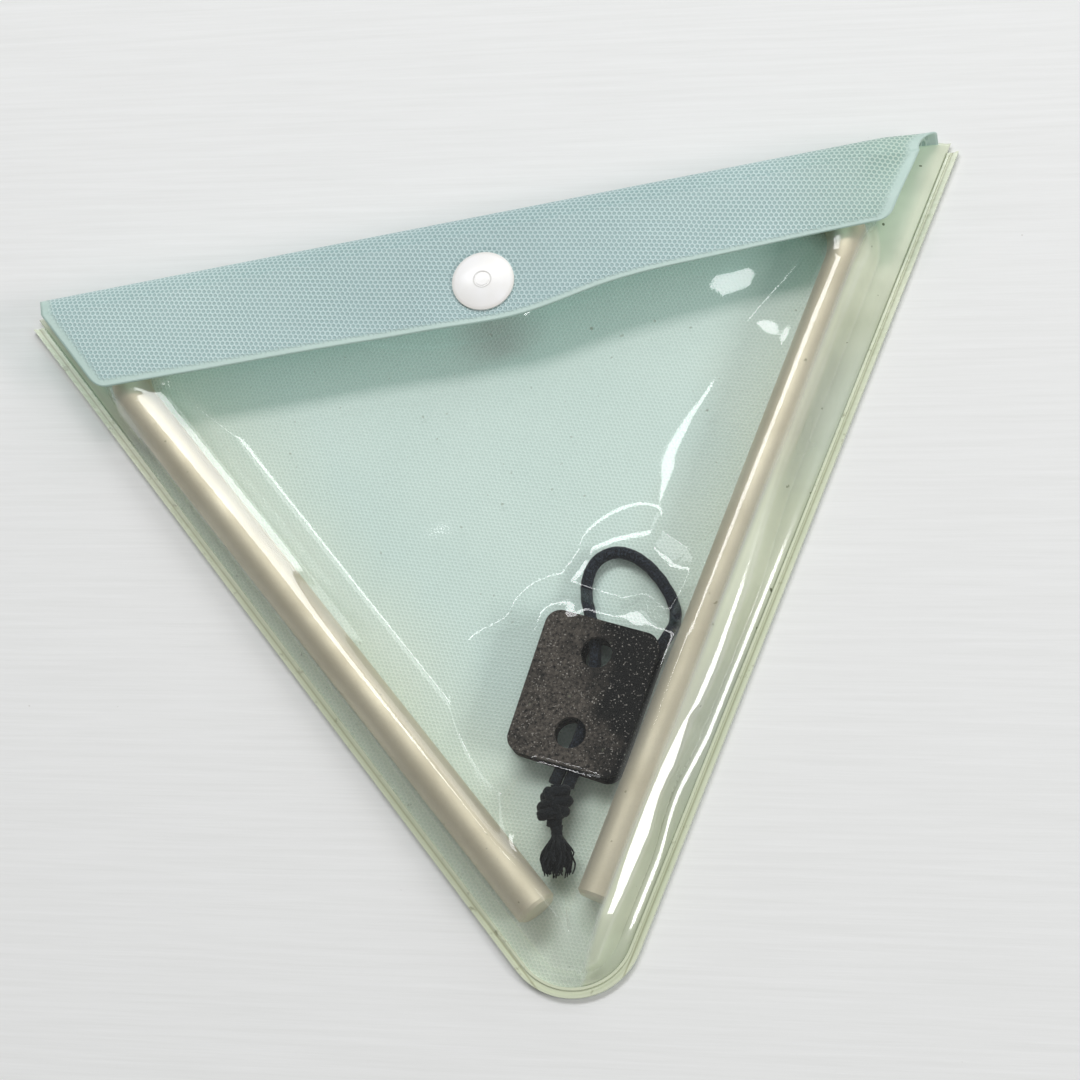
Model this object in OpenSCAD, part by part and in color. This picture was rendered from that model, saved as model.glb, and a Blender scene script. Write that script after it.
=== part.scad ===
// Triangle instrument in its snap-closed vinyl case, with its leather holder.
// It lies flat: X runs along the folded edge, +Y points to the fold, +Z up.
// The origin is at the centre of the bottom of the whole object.

/* [Triangle] */
// Diameter of the round steel rod
rod_d = 8; // [7:0.5:9]
// Side of the triangle, between the corners of the rod's centre line
side_len = 166; // [150:0.5:180]
// Bend radius of the two closed corners, on the centre line
bend_r = 13; // [10:0.5:16]
// Distance of each open end from the third corner, along its leg
end_setback = 11; // [9:0.5:15]
// Edge break on the two cut ends
end_chamfer = 0.6; // [0.2:0.1:1]
// Sideways place of the loose triangle in the case
tri_shift = -1.2; // [-1.5:0.1:1.5]
// Turn of the loose triangle in the case
tri_turn = 0.8; // [-1:0.1:1]
// Gap between the top bar and the inside of the fold
bar_setback = 2.1; // [1.8:0.1:3]

/* [Case] */
// Room between the triangle's third corner and the rounded tip
tip_room = 6.7; // [6:0.1:9]
// Sideways room at the fold between a leg's centre line and the edge
leg_room = 11.8; // [11:0.1:14]
// Radius of the rounded tip
tip_r = 13.2; // [11:0.1:15]
// Thickness of the vinyl sheet
sheet_t = 0.4; // [0.3:0.05:0.5]
// Width of the welded edge
weld_w = 1.9; // [1.5:0.1:2.3]
// Height of the two beads that stand on the welded edge
bead_h = 0.3; // [0.15:0.05:0.4]
// Width of each bead
bead_w = 0.5; // [0.3:0.1:0.6]
// Air below the front panel where it rests low between the rods
belly_gap = 0.9; // [0.6:0.1:1.5]
// Distance from a leg's centre line at which the front panel comes down to rest
leg_run = 13; // [12:0.5:16]
// Distance from the top bar's centre line at which the front panel comes down to rest
bar_run = 29; // [26:0.5:32]
// How far the front panel's edge lies past the middle of the top bar
mouth_lap = 2.4; // [1:0.1:2.6]

/* [Flap] */
// Depth of the flap below the fold at its left end
flap_left = 24; // [22:0.5:26]
// Depth of the flap at its right end
flap_right = 19.8; // [18:0.1:26]
// Inset of the flap's left end from the case's edge
inset_left = 3.5; // [3:0.5:7]
// Inset of the flap's right end from the case's edge
inset_right = 6; // [3:0.5:7]
// Radius of the flap's two lower corners
flap_corner_r = 3; // [1:0.5:5]
// Air between the flap and the front panel over the top bar
flap_air = 0.4; // [0.3:0.05:0.8]

/* [Snap fastener] */
// Diameter of the outer cap
cap_d = 12.5; // [11:0.1:13]
// Crown height of the outer cap
cap_h = 1.3; // [1:0.1:1.6]
// Diameter of the ring mark in the middle of the outer cap
mark_d = 3.4; // [2.6:0.1:4]
// Diameter of the cap behind the front panel
back_cap_d = 10.4; // [9:0.1:11]
// Thickness of the cap behind the front panel
back_cap_h = 0.9; // [0.6:0.1:1]
// Distance of the snap from the outside of the fold
snap_drop = 16.6; // [16.5:0.1:18]
// Diameter of the riveted posts
post_d = 1.9; // [1.6:0.1:2.1]
// Diameter of the stud's head
head_d = 3.8; // [3.4:0.1:4]
// Diameter of the socket and of the stud's flange
socket_d = 10; // [9:0.1:10.4]
// Height of the socket below the flap
socket_h = 2; // [1.8:0.1:2.2]
// Thickness of the stud's flange
flange_t = 0.6; // [0.5:0.05:0.8]

/* [Leather holder] */
// Width of a leather leaf
leaf_w = 22.5; // [18:0.5:23]
// Height of a leather leaf
leaf_h = 28.5; // [26:0.5:30]
// Thickness of a leather leaf
leaf_t = 1.2; // [1:0.1:1.3]
// Corner radius of a leather leaf
leaf_r = 3; // [2:0.5:4]
// Diameter of the two punched holes
hole_d = 6; // [5:0.5:7]
// Distance between the two holes
hole_pitch = 16; // [14:0.5:17]
// Turn of the back leaf against the front leaf
leaf_fan = 2; // [0:0.5:3]
// Place of the holder along the right leg, from the third corner
holder_along = 46; // [44:0.5:60]
// Turn of the holder away from the right leg
holder_skew = 3.7; // [0:0.1:6]
// Diameter of the cord
cord_d = 2.4; // [2:0.1:2.6]
// Diameter of the knot
knot_d = 6.4; // [5.6:0.1:6.8]
// Length of the knot
knot_len = 7.4; // [6:0.2:7.6]
// Greatest diameter of the tassel
tassel_d = 7; // [6:0.2:7.2]
// Length of the tassel
tassel_len = 9.5; // [8:0.5:10.5]

/* [Hidden] */
$fn = 64;

// Clearances: under a loose piece, over a rod, over the holder, between cord and leaf, at a seam or a
// riveted post, between holder and rod, and round the snap's head
rest_gap = 0.3;
drape_gap = 0.4;
lift_gap = 0.6;
cord_gap = 0.3;
seam_gap = 0.1;
holder_gap = 0.5;
head_gap = 0.5;
// How far a cut runs past the piece
overrun = 1;

// Heights of the rod's centre line, of the front panel's underside over it, and of the flap
rod_z = sheet_t + rest_gap + rod_d / 2;
cover_r = rod_d / 2 + drape_gap;
crest_z = rod_z + cover_r;
flap_z = crest_z + sheet_t + flap_air;
fold_r = (flap_z - sheet_t) / 2;
fold_z = sheet_t + fold_r;

// Outline of the case round the triangle: two slanted sides, tangent to the round tip
fold_room = sheet_t + bar_setback + rod_d / 2;
mouth_half = side_len / 2 + fold_room * tan(30) + leg_room;
y_fold = (fold_room + side_len * cos(30) + tip_room) / 2;
y_root = y_fold - sheet_t - fold_r;
tip_y = -y_fold + tip_r;
ear_share = 1.3;
side_a = acos(tip_r / norm([mouth_half, y_fold - tip_y])) - atan2(y_fold - tip_y, mouth_half);
ear_w = ear_share * weld_w;
ear_y = y_root + weld_w;
function half_w(y, inset) = let (r = tip_r - inset, v = y - tip_y)
    v < -r * sin(side_a) ? sqrt(max(0, r * r - v * v)) : (r + v * sin(side_a)) / cos(side_a);
function edge_dist(x, y, inset) = let (r = tip_r - inset, v = y - tip_y)
    atan2(-v, abs(x)) > side_a ? r - norm([x, v]) : r - abs(x) * cos(side_a) + v * sin(side_a);
fold_half = half_w(y_root, 0) - ear_w;

// The triangle's own frame, and distances from the centre lines of its legs and its bar
in_r = side_len * tan(30) / 2;
bar_y = y_fold - fold_room;
tri_y = bar_y - in_r;
bend_run = bend_r * tan(60);
function to_tri(x, y) = let (u = x - tri_shift, v = y - tri_y)
    [u * cos(tri_turn) + v * sin(tri_turn), -u * sin(tri_turn) + v * cos(tri_turn)];
function from_tri(q) = [tri_shift + q[0] * cos(tri_turn) - q[1] * sin(tri_turn),
    tri_y + q[0] * sin(tri_turn) + q[1] * cos(tri_turn)];
function leg_dist(q, side) = in_r - side * q[0] * cos(30) + q[1] * sin(30);

// Snap: its place, and the height of the front panel's underside at its seat
snap_y = y_fold - snap_drop;
seat_z = flap_z - socket_h - seam_gap - flange_t - sheet_t;
seat_margin = 2.2;
seat_r = back_cap_d / 2 + seat_margin;
seat_fade = 5;
hole_r = post_d / 2 + seam_gap;

// Holder: its centre, butted against the right leg, and its angle
leaf_reach = (leaf_w / 2 - leaf_r) * cos(holder_skew) + (leaf_h / 2 - leaf_r) * sin(holder_skew) + leaf_r;
holder_side = rod_d / 2 + holder_gap + leaf_reach;
holder_c = from_tri([holder_along * sin(30) - holder_side * cos(30),
    holder_along * cos(30) + holder_side * sin(30) - 2 * in_r]);
holder_a = tri_turn - 30 + holder_skew;
function to_holder(x, y) = let (u = x - holder_c[0], v = y - holder_c[1])
    [u * cos(holder_a) + v * sin(holder_a), -u * sin(holder_a) + v * cos(holder_a)];
back_leaf_z = sheet_t + rest_gap;
front_leaf_z = back_leaf_z + leaf_t + cord_d + 2 * cord_gap;
hang_z = sheet_t + rest_gap + max(knot_d, tassel_d) / 2;
knot_x = 1.1;
tassel_x = 2.6;
tassel_turn = 22;

// Route of the cord in the holder's frame: from the knot up between the leaves, round the loop, and back
cord_route = [[-0.2, -17.7, 4.2], [-0.2, -17.2, 4.2], [-0.1, -15.2, 3.5], [0.6, -12.6, 3.4], [1.4, -8.5, 3.4],
    [1.2, -3, 3.4], [0.5, 3, 3.4], [-0.6, 8, 3.4], [-2.2, 12, 3.4], [-4, 15.4, 3.4], [-5.7, 18.3, 2.6],
    [-6.8, 21.3, 2], [-6.9, 24.4, 2], [-5.8, 27.1, 2], [-3.3, 28.9, 2], [-0.2, 29.1, 2], [3, 28.1, 2],
    [6, 26.3, 2], [8.8, 23.9, 2], [10.9, 21.2, 2], [11.9, 18.3, 2.6], [11.5, 15.2, 3.4], [10.2, 11, 3.4],
    [8.4, 6, 3.4], [6.8, 0, 3.4], [5.4, -5.5, 3.4], [4.2, -10, 3.4], [3, -13, 3.4], [2.4, -15.2, 3.5],
    [2.4, -17.2, 4.2], [2.4, -17.7, 4.2]];
cord_sides = 8;

// Flat outline of the case up to the height top
tip_steps = 24;
module case_2d(inset, top) {
    r = tip_r - inset;
    w = half_w(top, inset);
    span = 180 - 2 * side_a;
    polygon(concat([[-w, top]], [for (i = [0:tip_steps]) let (a = 180 + side_a + span * i / tip_steps)
        [r * cos(a), tip_y + r * sin(a)]], [[w, top]]));
}

// Band of the case's outline between two insets
module edge_band(outer, inner, z, h) {
    translate([0, 0, z]) linear_extrude(h) difference() {
        case_2d(outer, ear_y);
        case_2d(inner, ear_y + overrun);
    }
}

// Back sheet, with an ear beside each end of the fold
module back_panel() {
    color([0.72, 0.83, 0.78]) linear_extrude(sheet_t) difference() {
        case_2d(0, ear_y);
        translate([-fold_half, y_root]) square([2 * fold_half, ear_w + overrun]);
    }
}

// Welded edge: a flat band that carries two beads
module edge_weld() {
    color([0.74, 0.8, 0.62]) union() {
        edge_band(0, weld_w, sheet_t, sheet_t);
        edge_band(0, bead_w, 2 * sheet_t, bead_h);
        edge_band(weld_w - bead_w, weld_w, 2 * sheet_t, bead_h);
    }
}

// Half tube of the fold, which bends when the flap opens
module flap_fold() {
    color([0.6, 0.78, 0.76]) translate([-fold_half + seam_gap, y_root, fold_z])
        rotate([90, 0, 90]) linear_extrude(2 * (fold_half - seam_gap)) difference() {
            circle(fold_r + sheet_t);
            circle(fold_r);
            translate([-2 * fold_r, -2 * fold_r]) square([2 * fold_r, 4 * fold_r]);
        }
}

// Outline of the flap's lower edge: share of the half width, share between the two depths
hem_shares = [[-0.36, 1.12], [0.03, 1.34], [0.11, 1.26], [0.2, 0.9], [0.3, 0.5], [0.42, 0.3], [0.7, 0.08]];
flap_round = 6;
function unit(v) = v / norm(v);
// Points of a fillet of radius r at the corner p, between the neighbours a and b
function fillet(a, p, b, r) = let (u = unit(a - p), w = unit(b - p), half = acos(u * w) / 2,
    c = p + unit(u + w) * r / sin(half), start = p + u * r / tan(half) - c, end = p + w * r / tan(half) - c)
    [for (i = [0:flap_round]) c + r * unit(start * (1 - i / flap_round) + end * i / flap_round)];

module flap_2d() {
    y_l = y_fold - flap_left;
    y_r = y_fold - flap_right;
    low_l = [-half_w(y_l, inset_left), y_l];
    low_r = [half_w(y_r, inset_right), y_r];
    root_l = [-half_w(y_root, inset_left), y_root];
    root_r = [half_w(y_root, inset_right), y_root];
    hem = [for (s = hem_shares) [s[0] * low_r[0], y_r + s[1] * (y_l - y_r)]];
    polygon(concat([root_l], fillet(root_l, low_l, hem[0], flap_corner_r), hem,
        fillet(hem[len(hem) - 1], low_r, root_r, flap_corner_r), [root_r]));
}

// Flap that is folded over the front, with the hole of the cap's post
module flap() {
    color([0.55, 0.76, 0.74]) translate([0, 0, flap_z]) linear_extrude(sheet_t) difference() {
        flap_2d();
        translate([0, snap_y]) circle(hole_r);
    }
}

// Front panel: a sheet that is drawn over the rods, rests low in between them, is lifted by the holder
// and is welded down all round
edge_z = sheet_t + seam_gap;
rest_z = sheet_t + belly_gap;
rim = weld_w + 2 * seam_gap;
end_y = tri_y - 2 * in_r + end_setback * cos(30) - rod_d / 4 - overrun;
rim_y = -y_fold + rim;
// Powers: squareness of the snap's seat, fall of the panel towards the tip, and how slopes and lifts join
seat_power = 4;
tip_power = 1.5;
join_power = 4;
function cover(d) = rod_z + sqrt(max(0, cover_r * cover_r - d * d));
// Height over a rod at the distance d, and down a straight run that leaves its cover at a tangent
function tent(d, run, low) = let (rise = rod_z - low,
    a = atan2(rise, run) + asin(min(1, cover_r / norm([run, rise]))))
    d < 0 ? crest_z : d < cover_r * sin(a) ? cover(d) : min(crest_z, low + max(0, run - d) * tan(a));
function fade(u) = let (t = min(1, max(0, u))) 1 - t * t * (3 - 2 * t);
function sum(v, i = 0) = i < len(v) ? v[i] + sum(v, i + 1) : 0;

// Lifts of the panel by the leaves, by the cord's loop and by the knot with its tassel
leaf_room = 1.5;
leaf_fade = 13;
loop_fade = 11;
tail_fade = 12;
loop_c = [2.5, 18.5];
loop_r = 13.5;
loop_top = cord_route[floor(len(cord_route) / 2)][2] + cord_d / 2;
tail_r = 4.4;
tail_y = cord_route[0][1];
tail_end = tail_y - knot_len - tassel_len / 2;
function lift(top, dist, run) = (top + lift_gap - rest_z) * fade(dist / run);
function leaf_dist(h) = norm([max(0, abs(h[0]) - leaf_w / 2 + leaf_r),
    max(0, abs(h[1]) - leaf_h / 2 + leaf_r)]) - leaf_r;
function tail_dist(h) = norm([h[0] - (knot_x + tassel_x) / 2,
    max(0, h[1] - tail_y, tail_end - h[1])]) - tail_r;
function lifts(h) = [lift(front_leaf_z + leaf_t, leaf_dist(h) - leaf_room, leaf_fade),
    lift(loop_top, norm(h - loop_c) - loop_r, loop_fade),
    lift(hang_z + max(knot_d, tassel_d) / 2, tail_dist(h), tail_fade)];

// Height over a bent corner, where the run changes from the bar's to the leg's, with some room to spare
bend_room = 1;
function bend_tent(q, side) = let (v = [side * q[0] - side_len / 2 + bend_run, q[1] - in_r + bend_r],
    turn = atan2(v[0], v[1]) / 120, run = bar_run + (leg_run - bar_run) * turn)
    turn < 0 || turn > 1 ? rest_z : tent(bend_r - norm(v) - bend_room, run, rest_z);
function panel_z(x, y) = let (q = to_tri(x, y), w = edge_dist(x, y, rim), bar = in_r - q[1],
    left = leg_dist(q, -1), right = leg_dist(q, 1),
    hung = max(tent(left, leg_run, rest_z), tent(right, leg_run, rest_z), tent(bar, bar_run, rest_z),
        bend_tent(q, -1), bend_tent(q, 1)),
    rises = concat(lifts(to_holder(x, y)), hung - rest_z),
    laid = min(crest_z, rest_z + pow(sum([for (r = rises) pow(r, join_power)]), 1 / join_power)),
    seat = fade((pow(pow(x, seat_power) + pow(y - snap_y, seat_power), 1 / seat_power) - seat_r) / seat_fade),
    drawn = max(laid + (seat_z - laid) * seat, abs(bar) < cover_r ? cover(bar) : 0),
    tip = 1 - pow(min(1, max(0, (end_y - y) / (end_y - rim_y))), tip_power))
    edge_z + (min(drawn, tent(-left, w - left, edge_z), tent(-right, w - right, edge_z)) - edge_z) * tip;

// Grid lines of the panel across a leg: places in shares of the cover's radius and of the leg's run, both
// from its centre line; then shares of the way on to the snap's seat, and shares of the seat
arc_shares = [-0.83, -0.56, -0.28, 0, 0.28, 0.56];
run_shares = [0.38, 0.58, 0.8, 0.92, 1, 1.12];
way_shares = [0.35, 0.7];
seat_shares = [1.2, 0.85, 0.56, 0.28, 0];
crest_shares = [0, 0.3, 0.62, 0.885];
bar_shares = [0.2, 0.3, 0.4, 0.5, 0.6, 0.66, 0.72, 0.78, 0.9, 1];
leg_rows = 18;
row_pace = 1.2;
tip_rows = 7;
panel_rows = concat([bar_y + mouth_lap],
    [for (d = concat(crest_shares * cover_r, bar_shares * bar_run)) bar_y - d],
    [for (i = [1:leg_rows]) end_y + (bar_y - bar_run - end_y) * pow(1 - i / leg_rows, row_pace)],
    [for (i = [1:tip_rows]) end_y + (rim_y + rest_gap - end_y) * sin(90 * i / tip_rows)]);
// Distance of a leg's centre line from the middle of the panel
function leg_at(y, side) = side * tri_shift + (in_r + (y - tri_y) * sin(30 - side * tri_turn))
    / cos(30 - side * tri_turn);
arc_lines = arc_shares * cover_r / cos(30);
run_lines = run_shares * leg_run / cos(30);
seat_lines = seat_shares * (seat_r + seat_fade);
spread_share = 0.5;
outer_count = 2 + len(arc_lines);
inner_count = len(run_lines) + len(way_shares) + len(seat_lines);
half_cols = outer_count + inner_count - 1;
cols = 2 * half_cols + 1;
// Distances of the grid lines from the middle of the panel, from the edge inwards. Where the case gets
// narrow, they are spread evenly.
function outer_lines(leg, w) = let (arcs = [for (d = arc_lines) leg - d],
    wanted = concat([w, (w + arcs[0]) / 2], arcs))
    [for (j = [0:outer_count - 1]) max(wanted[j], spread_share * w * (1 - j / (outer_count + 1)))];
function inner_lines(leg, start) = let (foot = leg - run_lines[len(run_lines) - 1],
    seat_at = min(seat_lines[0], start * len(seat_lines) / inner_count),
    wanted = concat([for (d = run_lines) leg - d], [for (s = way_shares) foot + s * (seat_at - foot)]))
    [for (j = [0:inner_count - 1]) let (even = start * (1 - (j + 1) / inner_count))
        j < len(wanted) ? max(wanted[j], even) : min(seat_lines[j - len(wanted)], even)];
function lines_at(y, side, w) = let (leg = leg_at(y, side), outer = outer_lines(leg, w))
    concat(outer, inner_lines(leg, outer[outer_count - 1]));
function panel_row(y) = let (w = half_w(y, rim), left = lines_at(y, -1, w), right = lines_at(y, 1, w))
    [for (i = [0:cols - 1]) let (x = i < half_cols ? -left[i] : right[cols - 1 - i]) [x, y, panel_z(x, y)]];
// Direction square to the panel, upright along its welded edge
probe_share = 0.4;
function panel_normal(p, flat) = let (e = probe_share * sheet_t)
    flat ? [0, 0, 1] : unit([panel_z(p[0] - e, p[1]) - panel_z(p[0] + e, p[1]),
        panel_z(p[0], p[1] - e) - panel_z(p[0], p[1] + e), 2 * e]);

module front_sheet() {
    rows = len(panel_rows);
    under = [for (y = panel_rows) each panel_row(y)];
    over = [for (k = [0:len(under) - 1]) let (i = k % cols, row = floor(k / cols))
        under[k] + sheet_t * panel_normal(under[k], i == 0 || i == cols - 1 || row == rows - 1)];
    n = rows * cols;
    skin = [for (r = [0:rows - 2]) for (i = [0:cols - 2]) let (a = r * cols + i, b = a + 1,
        c = b + cols, d = a + cols)
        each [[a, c, b], [a, d, c], [n + a, n + b, n + c], [n + a, n + c, n + d]]];
    loop = concat([for (i = [0:cols - 1]) i], [for (r = [1:rows - 1]) r * cols + cols - 1],
        [for (i = [1:cols - 1]) rows * cols - 1 - i], [for (r = [1:rows - 2]) (rows - 1 - r) * cols]);
    wall = [for (k = [0:len(loop) - 1]) let (a = loop[k], b = loop[(k + 1) % len(loop)])
        each [[a, b, n + a], [b, n + b, n + a]]];
    polyhedron(concat(under, over), concat(skin, wall), convexity = 6);
}

module front_panel() {
    color([0.86, 0.9, 0.78, 0.5]) difference() {
        front_sheet();
        translate([0, snap_y, seat_z - overrun]) cylinder(h = sheet_t + 2 * overrun, r = hole_r, $fn = 24);
    }
}

// Outer cap: a low dome with a ring mark, and its post, riveted over in the socket
socket_web = flange_t;
rivet_share = 0.35;
rivet_h = rivet_share * socket_h;
rivet_d_share = 1.3;
crown_share = 0.7;
mark_in_share = 0.4;
mark_floor_share = 0.88;
module snap_cap() {
    top = flap_z + sheet_t;
    rivet_z = flap_z - socket_web - rivet_h;
    sag = crown_share * cap_h;
    dome_r = (pow(cap_d / 2, 2) + sag * sag) / (2 * sag);
    color([0.93, 0.92, 0.9]) translate([0, snap_y, 0]) union() {
        translate([0, 0, top]) rotate_extrude() difference() {
            intersection() {
                translate([0, cap_h - dome_r]) circle(dome_r, $fn = 360);
                square([cap_d / 2, cap_h]);
            }
            translate([mark_in_share * mark_d, mark_floor_share * cap_h])
                square([(1 / 2 - mark_in_share) * mark_d, cap_h]);
        }
        translate([0, 0, rivet_z + rivet_h / 2])
            cylinder(h = top + cap_h / 4 - rivet_z - rivet_h / 2, d = post_d);
        translate([0, 0, rivet_z]) cylinder(h = rivet_h - seam_gap, d = rivet_d_share * post_d);
    }
}

// Socket: a flanged ring whose cavity takes the stud's head
cavity_d = head_d + 2 * head_gap;
module snap_socket() {
    barrel_d = cavity_d + (socket_d - cavity_d) / 2;
    low_z = flap_z - socket_h;
    color([0.9, 0.89, 0.86]) translate([0, snap_y, 0]) difference() {
        union() {
            translate([0, 0, flap_z - socket_web]) cylinder(h = socket_web, d = socket_d);
            translate([0, 0, low_z])
                cylinder(h = socket_h - socket_web, d1 = barrel_d, d2 = (barrel_d + socket_d) / 2);
        }
        translate([0, 0, low_z - overrun]) cylinder(h = socket_h - socket_web + overrun, d = cavity_d);
        translate([0, 0, low_z]) cylinder(h = socket_h + overrun, r = hole_r);
    }
}

// Stud: a flange on the front panel with a low head, bored for the post of the back cap
flange_z = seat_z + sheet_t;
head_z = flange_z + flange_t;
head_h = socket_h - socket_web - rivet_h - seam_gap;
head_taper_share = 0.9;
module snap_stud() {
    color([0.9, 0.89, 0.86]) translate([0, snap_y, 0]) difference() {
        union() {
            translate([0, 0, flange_z]) cylinder(h = flange_t, d = socket_d);
            translate([0, 0, head_z]) cylinder(h = head_h, d1 = head_d, d2 = head_taper_share * head_d);
        }
        translate([0, 0, flange_z - overrun]) cylinder(h = flange_t + head_h + 2 * overrun, r = hole_r);
    }
}

// Cap behind the front panel, with its post through the panel and the stud
module snap_back_cap() {
    color([0.9, 0.89, 0.86]) translate([0, snap_y, 0]) union() {
        translate([0, 0, seat_z - back_cap_h])
            cylinder(h = back_cap_h / 2, d1 = back_cap_d - back_cap_h, d2 = back_cap_d);
        translate([0, 0, seat_z - back_cap_h / 2]) cylinder(h = back_cap_h / 2, d = back_cap_d);
        translate([0, 0, seat_z - back_cap_h / 2])
            cylinder(h = head_z + head_h - seat_z + back_cap_h / 2, d = post_d);
    }
}

// One bent rod: top bar, two bent corners drawn slightly thin, two legs with free ends
bend_lap = 0.3;
bend_neck = 0.02;
module triangle_rod() {
    leg = side_len - bend_run - end_setback;
    bar = side_len - 2 * bend_run;
    color([0.78, 0.74, 0.66]) translate([tri_shift, tri_y, rod_z]) rotate(tri_turn) union() {
        translate([-bar / 2 - bend_lap, in_r, 0]) rotate([0, 90, 0])
            cylinder(h = bar + 2 * bend_lap, d = rod_d);
        for (side = [-1, 1]) {
            translate([side * bar / 2, in_r - bend_r, 0]) rotate(side > 0 ? -30 : 90)
                rotate_extrude(angle = 120) translate([bend_r, 0]) circle(d = rod_d - 2 * bend_neck);
            translate([side * end_setback * sin(30), end_setback * cos(30) - 2 * in_r, 0]) rotate(-30 * side)
                rotate([-90, 0, 0]) {
                    cylinder(h = end_chamfer, d1 = rod_d - 2 * end_chamfer, d2 = rod_d);
                    translate([0, 0, end_chamfer]) cylinder(h = leg + bend_lap - end_chamfer, d = rod_d);
                }
        }
    }
}

module in_holder() {
    translate([holder_c[0], holder_c[1], 0]) rotate(holder_a) children();
}

module rounded_2d(w, h, r) {
    square([w - 2 * r, h], center = true);
    square([w, h - 2 * r], center = true);
    for (x = [-1, 1]) for (y = [-1, 1]) translate([x * (w / 2 - r), y * (h / 2 - r)]) circle(r);
}

// One leather leaf with its two punched holes
module leaf(z, turn) {
    in_holder() translate([0, 0, z]) rotate(turn) linear_extrude(leaf_t) difference() {
        rounded_2d(leaf_w, leaf_h, leaf_r);
        for (y = [-1, 1]) translate([0, y * hole_pitch / 2]) circle(d = hole_d);
    }
}

module grip_front_leaf() {
    color([0.2, 0.19, 0.2]) leaf(front_leaf_z, 0);
}

module grip_back_leaf() {
    color([0.17, 0.16, 0.17]) leaf(back_leaf_z, -leaf_fan);
}

// Cord: one tube along its route
module hanging_cord() {
    count = len(cord_route);
    rings = [for (i = [0:count - 1]) let (p = cord_route[i],
        t = unit(cord_route[min(count - 1, i + 1)] - cord_route[max(0, i - 1)]),
        side = unit(cross([0, 0, 1], t)), up = cross(t, side))
        for (k = [0:cord_sides - 1]) let (a = 360 * k / cord_sides)
            p + cord_d / 2 * (cos(a) * side + sin(a) * up)];
    skin = [for (i = [0:count - 2]) for (k = [0:cord_sides - 1]) let (a = i * cord_sides + k,
        b = i * cord_sides + (k + 1) % cord_sides)
        each [[a, a + cord_sides, b + cord_sides], [a, b + cord_sides, b]]];
    ends = [[for (k = [0:cord_sides - 1]) k], [for (k = [0:cord_sides - 1]) count * cord_sides - 1 - k]];
    color([0.1, 0.1, 0.11]) in_holder() polyhedron(rings, concat(skin, ends), convexity = 6);
}

// Knot: a bulging barrel of two turns, flat at its ends, by shares of its radius and its length
knot_shares = [[0, 0], [0.82, 0], [0.98, 0.15], [1, 0.3], [0.86, 0.46], [1, 0.64], [0.94, 0.84],
    [0.7, 1], [0, 1]];
module cord_knot() {
    color([0.09, 0.09, 0.1]) in_holder() translate([knot_x, cord_route[0][1], hang_z]) rotate([90, 0, 0])
        rotate_extrude() polygon([for (s = knot_shares) [s[0] * knot_d / 2, s[1] * knot_len]]);
}

// Tassel: the frayed end of the cord, a narrow neck that widens to a brush
brush_shares = [[0.6, 0.38], [0.9, 0.6], [1, 0.8], [0.75, 0.95], [0.35, 1], [0, 1]];
neck_share = 0.2;
module cord_tassel() {
    neck_r = cord_d / 2;
    top_y = cord_route[0][1] - knot_len - seam_gap;
    color([0.07, 0.07, 0.08]) in_holder() translate([tassel_x, top_y, hang_z])
        rotate(tassel_turn) rotate([90, 0, 0]) rotate_extrude() polygon(concat(
            [[0, neck_r / 2], [neck_r, neck_r / 2], [neck_r, neck_share * tassel_len]],
            [for (s = brush_shares) [s[0] * tassel_d / 2, s[1] * tassel_len]]));
}

back_panel();
front_panel();
edge_weld();
flap_fold();
flap();
snap_cap();
snap_socket();
snap_stud();
snap_back_cap();
triangle_rod();
grip_front_leaf();
grip_back_leaf();
hanging_cord();
cord_knot();
cord_tassel();
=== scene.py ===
"""Looks of a triangle instrument in its snap case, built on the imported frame. Metres, in the row frame."""

import math

import bmesh
import bpy
import numpy as np
from mathutils import Matrix, Vector


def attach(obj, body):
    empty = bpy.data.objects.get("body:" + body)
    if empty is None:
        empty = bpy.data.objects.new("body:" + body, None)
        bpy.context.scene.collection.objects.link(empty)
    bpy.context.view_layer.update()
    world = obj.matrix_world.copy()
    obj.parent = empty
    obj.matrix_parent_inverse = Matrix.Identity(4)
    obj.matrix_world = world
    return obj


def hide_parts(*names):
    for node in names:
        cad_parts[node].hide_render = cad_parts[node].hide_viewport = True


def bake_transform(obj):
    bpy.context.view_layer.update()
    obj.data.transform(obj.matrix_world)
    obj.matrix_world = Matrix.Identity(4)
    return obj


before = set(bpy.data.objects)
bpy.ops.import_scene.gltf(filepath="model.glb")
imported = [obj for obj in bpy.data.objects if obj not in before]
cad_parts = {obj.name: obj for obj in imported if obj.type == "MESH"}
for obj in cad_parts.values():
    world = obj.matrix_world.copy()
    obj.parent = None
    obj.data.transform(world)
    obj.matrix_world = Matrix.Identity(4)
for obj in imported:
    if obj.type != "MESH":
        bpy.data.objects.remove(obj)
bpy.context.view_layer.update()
MM = 0.001
RNG = np.random.default_rng(7)
COS_30 = math.cos(math.radians(30))
TAN_60 = math.tan(math.radians(60))

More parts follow.
